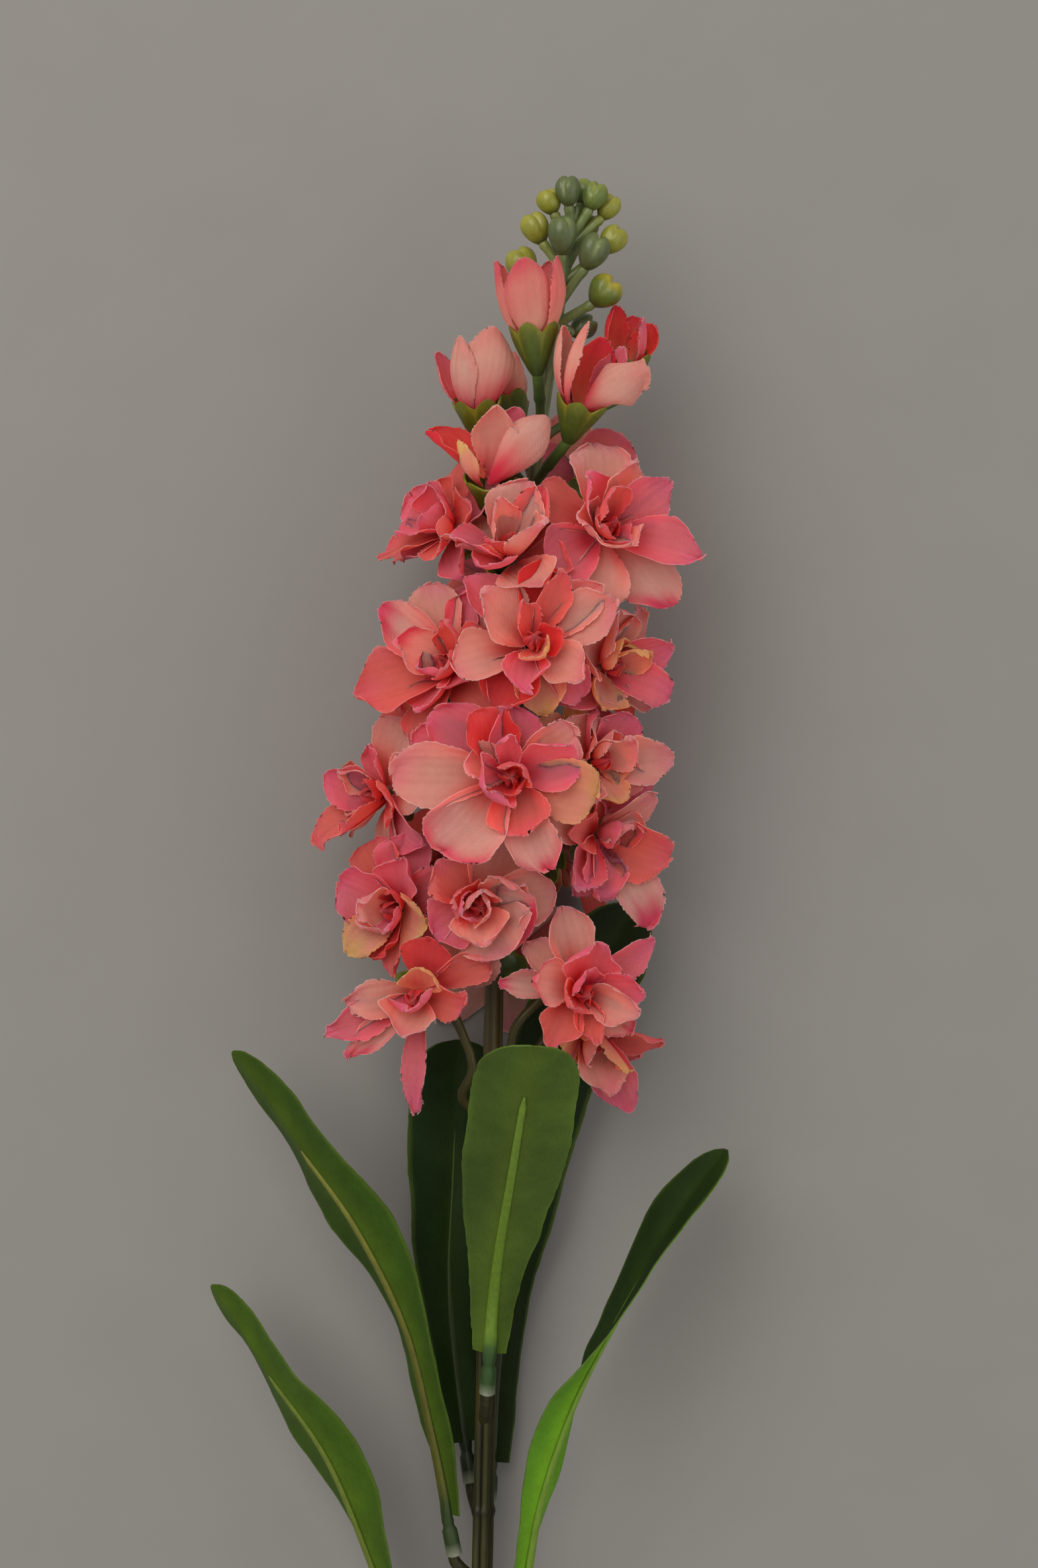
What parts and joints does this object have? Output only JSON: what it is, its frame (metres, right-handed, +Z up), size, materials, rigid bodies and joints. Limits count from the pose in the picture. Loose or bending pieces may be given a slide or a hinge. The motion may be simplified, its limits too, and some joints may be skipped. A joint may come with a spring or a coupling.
{
  "type": "artificial stock flower stem",
  "caption": "Long-stemmed artificial flower laid down: a tapering spike of layered fabric blooms and buds, a moulded green tip, and strap leaves on a fluted stem.",
  "frame": {"origin": "middle of the plan of the lying flower, on the surface that it lies on", "axes": "+Z up off the surface, +Y from the cut end of the stem to the tip of the spike, +X to the right with the tip away from the viewer"},
  "size_m": [0.1504, 0.548, 0.1334],
  "materials": {
    "olive": "olive brown moulded strands, low sheen",
    "calyx": "green to olive moulded stalks and calyxes, low sheen",
    "tip": "grey green to yellow green moulded buds, soft gloss",
    "petal": "peach to hot pink dyed woven fabric, pressed creases, satin sheen",
    "bud": "pale pink woven fabric with deep pink roots, satin sheen",
    "leaf": "green coated fabric with a fine rib along the blade",
    "rib": "yellow green moulded rib and sleeve"
  },
  "bodies": {
    "root": {"stem": "olive", "raceme": "calyx", "bud_spray": "tip", "bloom_01": "petal", "bloom_02": "petal", "bloom_03": "petal", "bloom_04": "petal", "bloom_05": "petal", "bloom_06": "petal", "bloom_07": "petal", "bloom_08": "petal", "bloom_09": "petal", "bloom_10": "petal", "bloom_11": "petal", "bloom_12": "petal", "bloom_13": "petal", "bloom_14": "petal", "bloom_15": "petal", "bloom_16": "petal", "bloom_17": "petal", "bloom_18": "petal", "bloom_19": "petal", "bloom_20": "petal", "bloom_21": "petal", "bloom_22": "petal", "bloom_23": "petal", "bud_01": "bud", "bud_02": "bud", "bud_03": "bud", "bud_04": "bud", "bud_05": "bud", "bud_06": "bud", "leaf_1": "leaf", "leaf_2": "leaf", "leaf_3": "leaf", "leaf_4": "leaf", "leaf_5": "leaf", "leaf_6": "leaf", "rib_1": "rib", "rib_2": "rib", "rib_3": "rib", "rib_4": "rib", "rib_5": "rib", "rib_6": "rib"}
  },
  "joints": []
}
